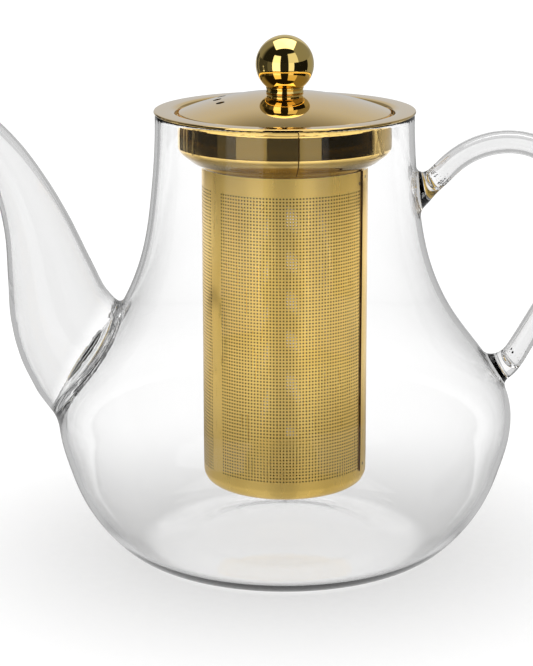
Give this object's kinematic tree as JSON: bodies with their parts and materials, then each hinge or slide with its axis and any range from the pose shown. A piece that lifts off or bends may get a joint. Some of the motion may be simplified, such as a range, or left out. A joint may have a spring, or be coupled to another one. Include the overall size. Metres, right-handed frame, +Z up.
{
  "type": "glass teapot with infuser",
  "caption": "Bulb-shaped glass teapot with a fused spout and loop handle, a lift-out perforated gold infuser and a domed gold lid with a ball knob.",
  "frame": {"origin": "centre of the flat underside, on the axis of the neck", "axes": "+Z up along the pot's axis, -X towards the spout, +X towards the handle"},
  "size_m": [0.2212, 0.1544, 0.177],
  "materials": {
    "clear_glass": "fire-polished clear borosilicate",
    "polished_gold": "mirror-polished, gold-coloured coating on stainless steel",
    "satin_gold": "satin, gold-coloured coating on perforated stainless steel",
    "stainless_steel": "turned stainless steel"
  },
  "bodies": {
    "pot": {"glass_body": "clear_glass", "spout": "clear_glass", "handle": "clear_glass"},
    "infuser": {"infuser_collar": "polished_gold", "basket_wall": "satin_gold", "basket_base": "satin_gold"},
    "lid": {"lid_dome": "polished_gold", "lid_skirt": "polished_gold", "knob_ball": "polished_gold", "knob_neck": "polished_gold", "knob_insert": "stainless_steel", "knob_screw": "stainless_steel", "knob_washer": "stainless_steel"}
  },
  "joints": [
    {"name": "infuser_lift", "type": "slide", "parent": "pot", "child": "infuser", "axis": [0, 0, 1], "range_m": [0, 0.135]},
    {"name": "lid_lift", "type": "slide", "parent": "infuser", "child": "lid", "axis": [0, 0, 1], "range_m": [0, 0.045]}
  ]
}
